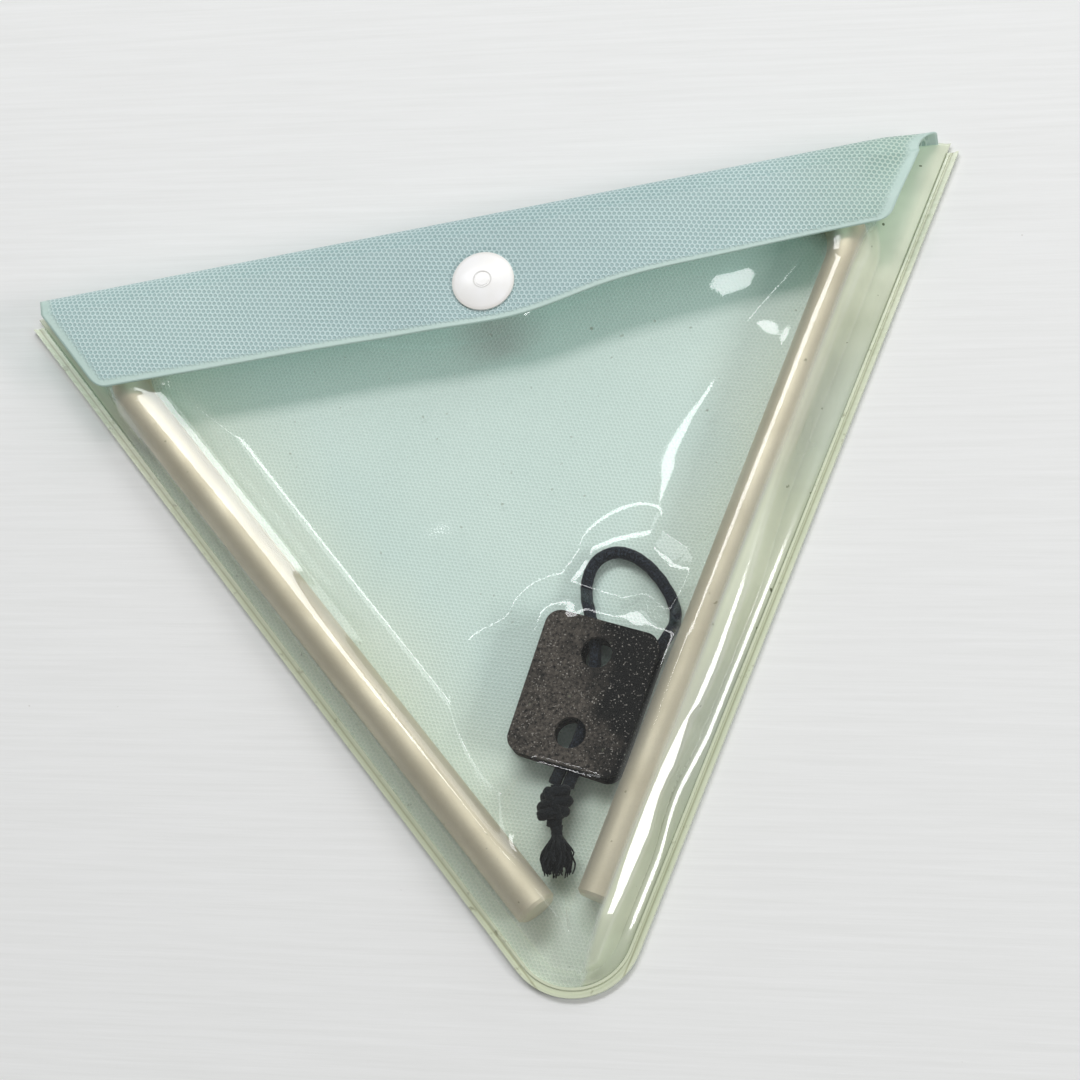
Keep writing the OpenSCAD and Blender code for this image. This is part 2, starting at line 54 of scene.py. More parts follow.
# Sizes and places of part.scad, in millimetres
SHEET = 0.4
ROD_R, ROD_Z = 4.0, 4.7
COVER_R, CREST_Z = 4.4, 9.1
SIDE_LEN, BEND_R = 166.0, 13.0
TRI_AT, TRI_TURN = (-1.2, 24.06), math.radians(0.8)
IN_R, BAR_Y = 47.92, 71.98
ROD_END_Y = -64.5
TIP_R, TIP_Y = 13.2, -65.28
SIDE_A = math.radians(30.0887)
WELD_W = 1.9
FOLD_R, FOLD_Z = 4.75, 5.15
Y_FOLD, Y_ROOT = 78.48, 73.33
FLAP_Z = 9.9
FLAP_LEFT, FLAP_RIGHT = 24.0, 19.8
INSET_L, INSET_R = 3.5, 6.0
SNAP_Y, SEAT_Z = 61.88, 6.8
HOLDER_AT, HOLDER_A = (8.212, -23.587), math.radians(-25.5)
LEAF_W, LEAF_H, LEAF_T, LEAF_R = 22.5, 28.5, 1.2, 3.0
FRONT_LEAF_Z = 4.9
CORD_D = 2.4
CORD_ROUTE = [
    (-0.2, -17.7, 4.2), (-0.2, -17.2, 4.2), (-0.1, -15.2, 3.5), (0.6, -12.6, 3.4), (1.4, -8.5, 3.4),
    (1.2, -3, 3.4), (0.5, 3, 3.4), (-0.6, 8, 3.4), (-2.2, 12, 3.4), (-4, 15.4, 3.4), (-5.7, 18.3, 2.6),
    (-6.8, 21.3, 2), (-6.9, 24.4, 2), (-5.8, 27.1, 2), (-3.3, 28.9, 2), (-0.2, 29.1, 2), (3, 28.1, 2),
    (6, 26.3, 2), (8.8, 23.9, 2), (10.9, 21.2, 2), (11.9, 18.3, 2.6), (11.5, 15.2, 3.4), (10.2, 11, 3.4),
    (8.4, 6, 3.4), (6.8, 0, 3.4), (5.4, -5.5, 3.4), (4.2, -10, 3.4), (3, -13, 3.4), (2.4, -15.2, 3.5),
    (2.4, -17.2, 4.2), (2.4, -17.7, 4.2),
]
KNOT_X, KNOT_D, KNOT_LEN = 1.1, 6.4, 7.4
TASSEL_X, TASSEL_D, TASSEL_LEN, TASSEL_TURN = 2.6, 7.0, 9.5, math.radians(22)
HANG_Z = 4.2

# How far the triangle's play takes it along Y, in millimetres
PLAY_LOW, PLAY_HIGH = -0.2, 0.7

# The photo's camera, from the fit to the fold, the edges, the rods and the snap's cap
CAMERA_AT = (54.3, -138.7, 403.2)
CAMERA_RIGHT = (0.9778, -0.1231, -0.1694)
CAMERA_UP = (0.1728, 0.9311, 0.3212)
LENS, SENSOR = 74.3, 36


def add_object(name, data):
    """A linked object round its data."""
    obj = bpy.data.objects.new(name, data)
    bpy.context.scene.collection.objects.link(obj)
    return obj


def make_camera():
    """Camera that sees the object as the photo does."""
    data = bpy.data.cameras.new("camera")
    data.sensor_width = SENSOR
    data.lens = LENS
    data.clip_start, data.clip_end = 0.01, 20
    cam = add_object("camera", data)
    right = Vector(CAMERA_RIGHT).normalized()
    back = right.cross(Vector(CAMERA_UP)).normalized()
    pose = Matrix((right, back.cross(right), back)).transposed().to_4x4()
    pose.translation = Vector(CAMERA_AT) * MM
    cam.matrix_world = pose
    bpy.context.scene.camera = cam


make_camera()


# Helpers for shapes
def smoothstep(u):
    """Rises smoothly from 0 to 1 as u does."""
    t = np.clip(u, 0, 1)
    return t * t * (3 - 2 * t)


def fade(u):
    """Falls smoothly from 1 to 0 as u rises from 0 to 1."""
    return 1 - smoothstep(u)


def soft_max(v, k):
    """The greater of v and zero, rounded over about k."""
    return (v + np.sqrt(v * v + k * k)) / 2


def swell_at(v, *humps):
    """Sum of soft humps, each (middle, half length, height)."""
    return sum(high * fade(np.abs(v - mid) / half) for mid, half, high in humps)


def waves(v, *parts):
    """Sum of slow waves, each (height, turn per mm, start)."""
    return sum(high * np.sin(v * per + start) for high, per, start in parts)


def local_coords(x, y, at, turn):
    """Coordinates in a frame that stands at a point and is turned about Z."""
    u, v = x - at[0], y - at[1]
    c, s = math.cos(turn), math.sin(turn)
    return u * c + v * s, -u * s + v * c


def in_holder(p):
    """Points of the holder's own frame, in the row frame, in mm."""
    c, s = math.cos(HOLDER_A), math.sin(HOLDER_A)
    p = np.asarray(p, float)
    x, y = p[..., 0], p[..., 1]
    return np.stack([HOLDER_AT[0] + c * x - s * y, HOLDER_AT[1] + s * x + c * y, p[..., 2]], -1)


def mesh_object(name, verts, faces, material):
    """A smooth mesh from millimetre points."""
    mesh = bpy.data.meshes.new(name)
    mesh.from_pydata((np.asarray(verts, float) * MM).tolist(), [], [list(f) for f in faces])
    mesh.validate()
    mesh.polygons.foreach_set("use_smooth", [True] * len(mesh.polygons))
    mesh.materials.append(material)
    return add_object(name, mesh)


def fix_normals(obj):
    """Turn all faces outwards."""
    bm = bmesh.new()
    bm.from_mesh(obj.data)
    bmesh.ops.recalc_face_normals(bm, faces=bm.faces)
    bm.to_mesh(obj.data)
    bm.free()


def slab(name, under, over, material):
    """A closed sheet from two grids of points, rows by columns."""
    rows, cols = under.shape[:2]
    n = rows * cols
    idx = np.arange(n).reshape(rows, cols)
    a, b, c, d = idx[:-1, :-1], idx[:-1, 1:], idx[1:, 1:], idx[1:, :-1]
    low = np.stack([a, b, c, d], -1).reshape(-1, 4)
    top = np.stack([a, d, c, b], -1).reshape(-1, 4) + n
    ring = np.concatenate([idx[0, :-1], idx[:-1, -1], idx[-1, :0:-1], idx[:0:-1, 0]])
    nxt = np.roll(ring, -1)
    wall = np.stack([ring, ring + n, nxt + n, nxt], -1)
    faces = np.concatenate([low, top, wall]).tolist()
    obj = mesh_object(name, np.concatenate([under.reshape(-1, 3), over.reshape(-1, 3)]), faces, material)
    fix_normals(obj)
    return obj


def grid_normals(p):
    """Unit normals of a grid of points, upwards where its rows run down the Y axis."""
    n = np.cross(np.gradient(p, axis=0), np.gradient(p, axis=1))
    return n / np.linalg.norm(n, axis=-1, keepdims=True)


def mark_points(obj, name, values):
    """Store a value at each point of a slab's grid, on both its sides."""
    field = obj.data.attributes.new(name, "FLOAT", "POINT")
    field.data.foreach_set("value", np.tile(values.ravel(), 2))


# Materials
class Nodes:
    """Short calls for one material's node tree."""

    def __init__(self, name):
        self.mat = bpy.data.materials.new(name)
        self.mat.use_nodes = True
        self.tree = self.mat.node_tree
        self.tree.nodes.clear()
        self.out = self.tree.nodes.new("ShaderNodeOutputMaterial")

    def add(self, kind, inputs=None, **props):
        """A node, with each input linked or set."""
        node = self.tree.nodes.new(kind)
        for key, value in props.items():
            setattr(node, key, value)
        for key, value in (inputs or {}).items():
            socket = node.inputs[key]
            if isinstance(value, bpy.types.NodeSocket):
                self.tree.links.new(value, socket)
            else:
                socket.default_value = value
        return node

    def math(self, op, a, b=0.0, c=0.0, clamp=False):
        """A sum of one to three numbers."""
        return self.add("ShaderNodeMath", {0: a, 1: b, 2: c}, operation=op, use_clamp=clamp).outputs[0]

    def vector(self, op, a, b=(0.0, 0.0, 0.0)):
        """Outputs of a sum of vectors."""
        return self.add("ShaderNodeVectorMath", {0: a, 1: b}, operation=op).outputs

    def mix(self, fac, a, b, blend="MIX"):
        """Two colours mixed."""
        inputs = {0: fac, 6: a, 7: b}
        return self.add("ShaderNodeMix", inputs, data_type="RGBA", blend_type=blend).outputs[2]

    def ramp(self, fac, low, high, a=0.0, b=1.0):
        """From a to b as fac goes from low to high."""
        inputs = {"Value": fac, "From Min": low, "From Max": high, "To Min": a, "To Max": b}
        return self.add("ShaderNodeMapRange", inputs, clamp=True).outputs[0]

    def scaled(self, scale, turn=0.0):
        """Object coordinates times scale, turned about Z."""
        place = self.add("ShaderNodeTexCoord").outputs["Object"]
        inputs = {"Vector": place, "Scale": scale, "Rotation": (0, 0, turn)}
        return self.add("ShaderNodeMapping", inputs).outputs[0]

    def coords(self, turn=0.0):
        """Object coordinates in millimetres."""
        return self.scaled((1000,) * 3, turn)

    def along(self, axis, vector=None):
        """One coordinate in millimetres."""
        return self.add("ShaderNodeSeparateXYZ", {"Vector": vector or self.coords()}).outputs[axis]

    def noise(self, vector, scale, detail=3.0, rough=0.5):
        """Soft noise, about 0.5 on average."""
        inputs = {"Vector": vector, "Scale": scale, "Detail": detail, "Roughness": rough}
        return self.add("ShaderNodeTexNoise", inputs).outputs["Fac"]

    def point_value(self, name):
        """A value stored by mark_points."""
        return self.add("ShaderNodeAttribute", attribute_name=name).outputs["Fac"]

    def bump(self, height, strength, distance):
        """Normals tilted by a height."""
        inputs = {"Height": height, "Strength": strength, "Distance": distance}
        return self.add("ShaderNodeBump", inputs).outputs[0]

    def lattice(self, vector, pitch):
        """Honeycomb net, from three crossed waves: near 1 on its lines and 0 in its cells."""
        k = 2 * math.pi / (pitch * COS_30)
        total = 0.0
        for turn in (30, 90, 150):
            a = math.radians(turn)
            u = self.math("MULTIPLY", self.along(0, vector), k * math.cos(a))
            v = self.math("MULTIPLY_ADD", self.along(1, vector), k * math.sin(a), u)
            total = self.math("ADD", total, self.math("COSINE", v))
        return self.ramp(total, 0.3, -1.0)

    def edge_inset(self):
        """Distance from the case's slanted edges, in mm."""
        at_middle = TIP_R - TIP_Y * math.sin(SIDE_A)
        rise = self.math("MULTIPLY_ADD", self.along(1), math.sin(SIDE_A), at_middle)
        return self.math("MULTIPLY_ADD", self.math("ABSOLUTE", self.along(0)), -math.cos(SIDE_A), rise)

    def near(self, value, middle, inner, outer, share):
        """The share where value is within inner of middle, falling to zero at outer."""
        gap = self.math("ABSOLUTE", self.math("SUBTRACT", value, middle))
        return self.ramp(gap, inner, outer, share, 0.0)

    def shader(self, kind, inputs):
        """Output of a shader node."""
        return self.add("ShaderNode" + kind, inputs).outputs[0]

    def done(self, shader):
        """The material, with its surface linked."""
        self.tree.links.new(shader, self.out.inputs["Surface"])
        return self.mat


def rgb(r, g, b):
    """Linear colour of an 8-bit sRGB one."""
    def lin(v):
        v /= 255
        return v / 12.92 if v <= 0.04045 else ((v + 0.055) / 1.055) ** 2.4

    return (lin(r), lin(g), lin(b), 1.0)


VINYL_IOR = 1.5
# Tones of the embossed vinyl, each with the millimetres along X, or from the slanted edge, where it comes in
SNAP_SHADE, SNAP_TONE = (12, 55), (0.87, 0.89, 0.91, 1)
END_SHADE, END_TONE = (58, 84), (0.88, 0.9, 0.8, 1)
EDGE_SHADE, EDGE_TONE, EDGE_CLOUD = (14, 40), (1.04, 0.955, 0.85, 1), 16.0
CLOUD_TONE = (0.86, 0.9, 0.9, 1)
THROUGH_TINT = (0.74, 0.93, 0.89, 1)
SEEN_THROUGH, LIT_THROUGH = 0.1, 0.65
CLEAR_TINT = (0.982, 0.988, 0.98, 1)
# Marks on the snap's cap and the weld's dark line, in mm
CAP_MARK_R, CAP_RIM_R = 1.75, (5.5, 6.2)
WELD_LINE = 1.0
# Where the leather's wear goes over into black along X and where the cord gets darker along Y, in mm
WORN_TO_BLACK = (3, 21)
DARK_CORD = (-42, -34)
FLOOR_PALE = (0.86, 0.86, 0.85, 1)
FLOOR_DEEP = (0.80, 0.80, 0.785, 1)
BRUSH_SCALE = (28, 900, 28)


def embossed_skin(n, colour, net, cloud, gloss, depth):
    """Shader of vinyl with its net and a fine grain pressed in."""
    colour = n.mix(n.ramp(cloud, 0.35, 0.7, 0, 0.5), colour, CLOUD_TONE, "MULTIPLY")
    height = n.math("MULTIPLY_ADD", n.noise(n.coords(), 1.4, 2), 0.15, net)
    return n.shader("BsdfPrincipled", {
        "Base Color": colour, "Roughness": gloss, "IOR": VINYL_IOR, "Normal": n.bump(height, 0.55, depth),
    })


def back_vinyl():
    """Pale embossed vinyl, yellowed along the case's slanted edges."""
    n = Nodes("back_vinyl")
    net = n.lattice(n.coords(0.3), 0.8)
    cloud = n.noise(n.coords(), 0.03, 3)
    colour = n.mix(n.ramp(net, 0.1, 0.9), rgb(209, 229, 222), rgb(223, 239, 234))
    inset = n.math("MULTIPLY_ADD", cloud, EDGE_CLOUD, n.edge_inset())
    colour = n.mix(n.ramp(inset, *EDGE_SHADE, 0.9, 0.0), colour, EDGE_TONE, "MULTIPLY")
    return n.done(embossed_skin(n, colour, net, cloud, 0.5, 0.0001))


def flap_vinyl():
    """Embossed blue green vinyl with smooth rims, darker near the snap, partly see-through."""
    n = Nodes("flap_vinyl")
    net = n.lattice(n.coords(0.22), 1.0)
    cloud = n.noise(n.coords(), 0.03, 3)
    colour = n.mix(n.ramp(net, 0.1, 0.9), rgb(163, 190, 189), rgb(214, 233, 231))
    near_snap = n.ramp(n.math("ABSOLUTE", n.along(0)), *SNAP_SHADE, 0.8, 0.0)
    colour = n.mix(near_snap, colour, SNAP_TONE, "MULTIPLY")
    colour = n.mix(n.ramp(n.along(0), *END_SHADE), colour, END_TONE, "MULTIPLY")
    pressed = n.point_value("pressed")
    colour = n.mix(pressed, rgb(194, 214, 206), colour)
    skin = embossed_skin(n, colour, n.math("MULTIPLY", net, pressed), cloud, 0.4, 0.0004)
    shadow = n.add("ShaderNodeLightPath").outputs["Is Shadow Ray"]
    share = n.math("MULTIPLY_ADD", shadow, LIT_THROUGH - SEEN_THROUGH, SEEN_THROUGH)
    through = n.shader("BsdfTransparent", {"Color": THROUGH_TINT})
    return n.done(n.shader("MixShader", {0: share, 1: skin, 2: through}))


def clear_vinyl():
    """Clear glossy sheet, slightly yellowed and hazy, with small stains and scuffs; its milky haze carries
    painted brightness on the margins and a painted reflection band inside the left rod.
    """
    n = Nodes("clear_vinyl")
    co = n.coords()
    # The stored share is milky haze, plus painted brightness on the margins and the top corners and a
    # painted reflection band inside the left rod
    cloudy_and_painted_light = n.point_value("cloudy_and_painted_light")
    specks = n.ramp(n.noise(co, 0.8, 1, 0.2), 0.8, 0.83)
    # Film colour, yellower where the haze and its painted brightness are strongest
    cloudy_and_painted_light_tone = n.mix(n.ramp(cloudy_and_painted_light, 0.2, 0.5), rgb(236, 241, 233), rgb(230, 236, 212))
    stained = n.mix(specks, cloudy_and_painted_light_tone, rgb(110, 115, 85))
    film = n.shader("BsdfPrincipled", {"Base Color": stained, "Roughness": 0.35, "IOR": VINYL_IOR})
    clear = n.shader("BsdfTransparent", {"Color": CLEAR_TINT})
    # Milky share of the film: haze, painted brightness and painted reflection, and stains at the specks
    cloudy_share_and_painted_light = n.math("MULTIPLY", cloudy_and_painted_light, n.ramp(n.noise(co, 0.035, 4), 0.25, 0.75, 0.6, 1.4))
    cloudy_share_and_painted_light = n.math("MAXIMUM", n.math("ADD", cloudy_share_and_painted_light, 0.004), n.math("MULTIPLY", specks, 0.35))
    body = n.shader("MixShader", {0: cloudy_share_and_painted_light, 1: clear, 2: film})
    normal = n.bump(n.noise(co, 0.25, 5, 0.6), 0.06, 0.0003)
    gloss = n.shader("BsdfGlossy", {"Color": (1, 1, 1, 1), "Roughness": 0.07, "Normal": normal})
    # Only the outer side reflects, and not for shadows and scattered light
    fresnel = n.shader("Fresnel", {"IOR": VINYL_IOR, "Normal": normal})
    inner = n.add("ShaderNodeNewGeometry").outputs["Backfacing"]
    path = n.add("ShaderNodeLightPath").outputs
    unseen = n.math("ADD", path["Is Shadow Ray"], path["Is Diffuse Ray"])
    share = n.math("MULTIPLY", fresnel, n.math("SUBTRACT", 1.0, inner))
    share = n.math("MULTIPLY", share, n.math("SUBTRACT", 1.0, unseen, clamp=True))
    return n.done(n.shader("MixShader", {0: share, 1: body, 2: gloss}))


def weld_vinyl():
    """Yellowed welded edge with a fine dark line and some grime."""
    n = Nodes("weld_vinyl")
    co = n.coords()
    tone = n.mix(n.ramp(n.noise(co, 0.06, 3), 0.3, 0.7), rgb(208, 215, 188), rgb(216, 221, 196))
    tone = n.mix(n.near(n.edge_inset(), WELD_LINE, 0.08, 0.22, 0.55), tone, rgb(150, 150, 112))
    grime = n.ramp(n.noise(co, 0.5, 4, 0.6), 0.62, 0.72, 0, 0.6)
    return n.done(n.shader("BsdfPrincipled", {
        "Base Color": n.mix(grime, tone, rgb(140, 140, 108)),
        "Roughness": 0.25,
        "IOR": VINYL_IOR,
        "Normal": n.bump(n.noise(co, 0.9, 3), 0.2, 0.0003),
    }))


def snap_plastic():
    """Off-white plastic with a small ring mark at its middle and a darker rim."""
    n = Nodes("snap_plastic")
    co = n.coords()
    tone = n.mix(n.ramp(n.noise(co, 0.2, 3), 0.35, 0.7), rgb(252, 251, 250), rgb(247, 245, 241))
    off = n.vector("SUBTRACT", co, (0.0, SNAP_Y, 0.0))[0]
    radius = n.vector("LENGTH", n.vector("MULTIPLY", off, (1.0, 1.0, 0.0))[0])["Value"]
    tone = n.mix(n.near(radius, CAP_MARK_R, 0.05, 0.22, 0.55), tone, rgb(178, 176, 170))
    tone = n.mix(n.ramp(radius, *CAP_RIM_R, 0.0, 0.35), tone, rgb(196, 190, 176))
    return n.done(n.shader("BsdfPrincipled", {
        "Base Color": tone,
        "Roughness": 0.3,
        "IOR": 1.5,
        "Normal": n.bump(n.noise(co, 1.2, 3), 0.1, 0.0002),
    }))


def rod_metal():
    """Satin nickel with a fine grain and matte patches."""
    n = Nodes("rod_metal")
    grain = n.noise(n.coords(), 2.2, 3, 0.7)
    patch = n.noise(n.coords(), 0.09, 4)
    tone = n.mix(n.ramp(patch, 0.3, 0.7), rgb(214, 204, 181), rgb(200, 189, 165))
    tone = n.mix(n.ramp(grain, 0.5, 0.8, 0, 0.4), tone, rgb(186, 172, 146))
    return n.done(n.shader("BsdfPrincipled", {
        "Base Color": tone,
        "Metallic": 0.8,
        "Roughness": n.ramp(patch, 0.3, 0.7, 0.5, 0.62),
        "Normal": n.bump(grain, 0.15, 0.0002),
    }))


def leather():
    """Black leather with a grey brown grain, with more wear towards its left, and pale specks."""
    n = Nodes("leather_black")
    co = n.coords()
    grain = n.noise(co, 1.6, 5, 0.7)
    wear = n.math("ADD", n.noise(co, 0.11, 4, 0.6), n.ramp(n.along(0), *WORN_TO_BLACK, 0.2, -0.22))
    tone = n.mix(n.ramp(wear, 0.45, 0.72), rgb(6, 6, 7), rgb(92, 85, 79))
    tone = n.mix(n.ramp(grain, 0.35, 0.6), rgb(14, 14, 15), tone)
    where = n.ramp(n.noise(co, 0.3, 2), 0.35, 0.6, 0.3, 1)
    salt = n.math("MULTIPLY", n.ramp(n.noise(co, 2.9, 1, 0.4), 0.66, 0.71), where)
    tone = n.mix(n.math("MULTIPLY", salt, 0.75), tone, rgb(176, 170, 164))
    pores = n.add("ShaderNodeTexVoronoi", {"Vector": co, "Scale": 1.1}, feature="F1").outputs["Distance"]
    return n.done(n.shader("BsdfPrincipled", {
        "Base Color": tone,
        "Roughness": n.ramp(wear, 0.3, 0.7, 0.6, 0.8),
        "Specular IOR Level": 0.18,
        "IOR": 1.45,
        "Normal": n.bump(n.math("MULTIPLY_ADD", pores, 0.5, grain), 0.5, 0.0004),
    }))


def cord_cotton():
    """Blue black cotton, nearly black at the knot and the tassel."""
    n = Nodes("cord_cotton")
    fuzz = n.noise(n.coords(), 3.0, 3, 0.7)
    tone = n.mix(n.ramp(fuzz, 0.45, 0.75), rgb(15, 18, 24), rgb(66, 74, 88))
    tone = n.mix(n.ramp(n.along(1), *DARK_CORD, 1, 0), tone, (0.3, 0.31, 0.28, 1), "MULTIPLY")
    return n.done(n.shader("BsdfPrincipled", {
        "Base Color": tone,
        "Roughness": 0.85,
        "Sheen Weight": 0.1,
        "Specular IOR Level": 0.2,
        "Sheen Roughness": 0.4,
        "Normal": n.bump(fuzz, 0.6, 0.0003),
    }))


def floor_paint():
    """White painted board with faint brush lines and a few specks."""
    n = Nodes("floor_paint")
    lines = n.noise(n.scaled(BRUSH_SCALE), 1.0, 4, 0.65)
    specks = n.ramp(n.noise(n.coords(), 0.4, 2, 0.6), 0.77, 0.8)
    tone = n.mix(n.ramp(lines, 0.3, 0.8), FLOOR_PALE, FLOOR_DEEP)
    tone = n.mix(n.math("MULTIPLY", specks, 0.4), tone, rgb(170, 162, 152))
    return n.done(n.shader("BsdfPrincipled", {
        "Base Color": tone,
        "Roughness": 0.6,
        "Specular IOR Level": 0.25,
        "Normal": n.bump(lines, 0.12, 0.0004),
    }))


BACK_VINYL = back_vinyl()
FLAP_VINYL = flap_vinyl()
CLEAR = clear_vinyl()
WELD = weld_vinyl()
SNAP = snap_plastic()
ROD = rod_metal()
LEATHER = leather()
CORD = cord_cotton()


# Cord, knot and tassel
def spline(points, per):
    """Catmull-Rom line through points, with per steps a span."""
    p = np.asarray(points, float)
    q = np.concatenate([[2 * p[0] - p[1]], p, [2 * p[-1] - p[-2]]])
    out = []
    for a, b, c, d in zip(q[:-3], q[1:-2], q[2:-1], q[3:]):
        for t in np.linspace(0, 1, per, endpoint=False):
            bend, twist = 2 * a - 5 * b + 4 * c - d, 3 * b - a - 3 * c + d
            out.append(0.5 * (2 * b + (c - a) * t + bend * t**2 + twist * t**3))
    out.append(p[-1])
    return np.array(out)


def tube(name, path, radius, sides=16, weave=None):
    """A closed tube of cord along path, in mm. A weave is its crossing strands, their pitch and depth."""
    path = np.asarray(path, float)
    t = np.gradient(path, axis=0)
    t /= np.linalg.norm(t, axis=1, keepdims=True)
    side = np.cross((0, 0, 1.0), t)
    side /= np.linalg.norm(side, axis=1, keepdims=True) + 1e-9
    up = np.cross(t, side)
    s = np.concatenate([[0], np.cumsum(np.linalg.norm(np.diff(path, axis=0), axis=1))])
    a = np.linspace(0, 2 * math.pi, sides, endpoint=False)
    r = np.broadcast_to(np.asarray(radius, float), (len(path),))[:, None] * np.ones(sides)
    if weave:
        strands, pitch, depth = weave
        one = np.cos(strands * a[None] + 2 * math.pi * s[:, None] / pitch)
        two = np.cos(strands * a[None] - 2 * math.pi * s[:, None] / pitch)
        r = r - depth + depth * np.maximum(one, two)
    across = np.cos(a)[None, :, None] * side[:, None] + np.sin(a)[None, :, None] * up[:, None]
    ring = path[:, None] + r[..., None] * across
    idx = np.arange(len(path) * sides).reshape(len(path), sides)
    nxt = np.roll(idx, -1, axis=1)
    faces = np.stack([idx[:-1], nxt[:-1], nxt[1:], idx[1:]], -1).reshape(-1, 4).tolist()
    faces += [list(idx[0][::-1]), list(idx[-1])]
    return mesh_object(name, ring.reshape(-1, 3), faces, CORD)


def join(name, objects):
    """One object from several, under a new name."""
    for o in bpy.context.selected_objects:
        o.select_set(False)
    for o in objects:
        o.select_set(True)
    bpy.context.view_layer.objects.active = objects[0]
    bpy.ops.object.join()
    objects[0].name = name
    return objects[0]


def make_knot():
    """Two turns of the cord, drawn tight, with a crossing strand and a core."""
    top = CORD_ROUTE[0][1]
    turns, start, lean, weave = 2.3, 0.6, 0.4, (4, 3.2, 0.1)
    t = np.linspace(0, 1, 90)
    a = 2 * math.pi * turns * t + start
    r = KNOT_D / 2 - CORD_D * 0.48
    x = KNOT_X + r * np.cos(a)
    z = HANG_Z + r * 0.92 * np.sin(a)
    y = top - 1.35 - t * (KNOT_LEN - 2.75) + lean * (x - KNOT_X)
    coil = np.stack([x, y, z], -1)
    cross = [(KNOT_X - 1.9, top - 1.6, HANG_Z + 1.2), (KNOT_X - 0.6, top - 3.2, HANG_Z + 1.95),
             (KNOT_X + 0.9, top - 4.8, HANG_Z + 1.9), (KNOT_X + 1.7, top - 6.1, HANG_Z + 0.8)]
    core = [(KNOT_X - 0.5, top - 0.15, HANG_Z), (KNOT_X, top - 2, HANG_Z), (KNOT_X + 0.5, top - 5, HANG_Z),
            (TASSEL_X - 0.4, top - KNOT_LEN - 0.2, HANG_Z)]
    parts = [
        tube("knot_a", in_holder(coil), CORD_D * 0.46, 16, weave),
        tube("knot_b", in_holder(spline(cross, 8)), CORD_D * 0.44, 16, weave),
        tube("knot_c", in_holder(spline(core, 8)), CORD_D * 0.6),
    ]
    return join("cord_knot_wound", parts)


def in_tassel(x, y, z):
    """Points of the tassel's own frame, y down its length, in the row frame."""
    c, s = math.cos(TASSEL_TURN), math.sin(TASSEL_TURN)
    top = CORD_ROUTE[0][1] - KNOT_LEN
    return in_holder(np.stack([TASSEL_X + c * x + s * y, top - c * y + s * x, HANG_Z + z], -1))


def make_tassel():
    """A neck of whipped thread and a brush of frayed strands."""
    neck_len, neck_r, points, strands = 3, 0.75, 9, 150
    half_high, brush_from = 2.9, 1.8
    zero = np.zeros(10)
    neck = in_tassel(zero, np.linspace(0, neck_len, 10), zero)
    parts = [tube("tassel_neck", neck, np.linspace(1.25, 1.0, 10), 14, (4, 2.0, 0.12))]
    u = np.linspace(0, 1, points)
    for i in range(strands):
        a = RNG.uniform(0, 2 * math.pi)
        spread = math.sqrt(RNG.uniform(0, 1)) * TASSEL_D / 2 * 0.9
        reach = TASSEL_LEN * RNG.uniform(0.6, 1.0)
        curl = RNG.uniform(-0.9, 0.9, 2)
        width = neck_r + (spread - neck_r) * np.sin(np.clip(u * 1.25, 0, 1) * math.pi / 2) ** 1.3
        width = width * (1 - 0.12 * smoothstep((u - 0.75) / 0.25))
        x = width * math.cos(a) + curl[0] * np.sin(u * 6 + a) * u - 0.4 * u
        z = width * math.sin(a) * 0.8 + curl[1] * np.sin(u * 4 + 2 * a) * u
        strand = in_tassel(x, brush_from + (reach - brush_from) * u, np.clip(z, -half_high, half_high))
        parts.append(tube(f"strand_{i}", strand, np.linspace(0.28, 0.13, points), 5))
    return join("cord_tassel_frayed", parts)


cord_line = in_holder(spline(CORD_ROUTE, 6))
cord_obj = tube("hanging_cord_woven", cord_line, CORD_D / 2, 24, (5, 3.4, 0.1))
knot_obj = make_knot()
tassel_obj = make_tassel()
for piece, node in ((cord_obj, "hanging_cord"), (knot_obj, "cord_knot"), (tassel_obj, "cord_tassel")):
    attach(piece, "holder")
    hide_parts(node)

# Heights and places of the front panel's form, in mm
REST_Z = 1.3
EDGE_Z = SHEET + 0.1
RIM = WELD_W + 0.2
LEG_RUN, LEFT_RUN, BAR_RUN = 13.0, 10.9, 29.0
LIFT_GAP, TAIL_GAP = 0.6, 0.35
# Power by which lifted and hung heights are merged
SHARP = 10
# Where the panel comes down to the weld round the tip, along Y, and the snap's flat seat
TIP_FALL = (-65.25, -76.38)
SEAT_R, SEAT_FADE = 6.3, 3.0
# In the holder's frame: the loop's middle and top, the reach of the tail, two swells over the leather's top
LOOP_AT, LOOP_TOP = (2.5, 18.5), 3.2
TAIL_TOP, TAIL_END, TAIL_R = -16, -29.85, 4.4
LEDGE_START = ((-7.0, 4.0, 3.0), (5.5, 4.4, 1.2))
LEDGE_LEN = ((-7.0, 4.0, 3.8), (5.5, 4.4, 3.6))
LEDGE_TILT = 0.17
# Where the panel starts to fall round the cord's loop and where it lands: directions in degrees, distances
LOOP_IN = ([-180, 0, 20, 30, 38, 50, 60, 63, 66, 75, 85, 100, 111, 120, 130, 180],
           [13.3, 13.3, 15, 12.6, 11.6, 12, 13.1, 14.6, 15.4, 14.6, 14.2, 14.1, 14.6, 13.8, 13.3, 13.3])
LOOP_OUT = ([-180, 0, 20, 30, 38, 45, 55, 61, 64, 70, 78, 86, 95, 104, 111, 120, 130, 180],
            [14.5, 14.5, 18, 18, 17, 16.5, 16.4, 17, 21.5, 21.5, 20.8, 19.8, 18.7, 17.7, 16.9, 15, 14.4,
             14.5])
# How far the panel hangs from the right rod along it: positions along Y, distances
RIGHT_RUN = ([-70, -20, -12, -6, 0, 2.5, 5, 7, 9, 13, 20, 28, 35, 42, 48, 60],
             [11, 11, 9.5, 8, 7.5, 9, 12.3, 15, 16.6, 17.2, 17.6, 17.2, 16, 14.9, 13.9, 13.5])
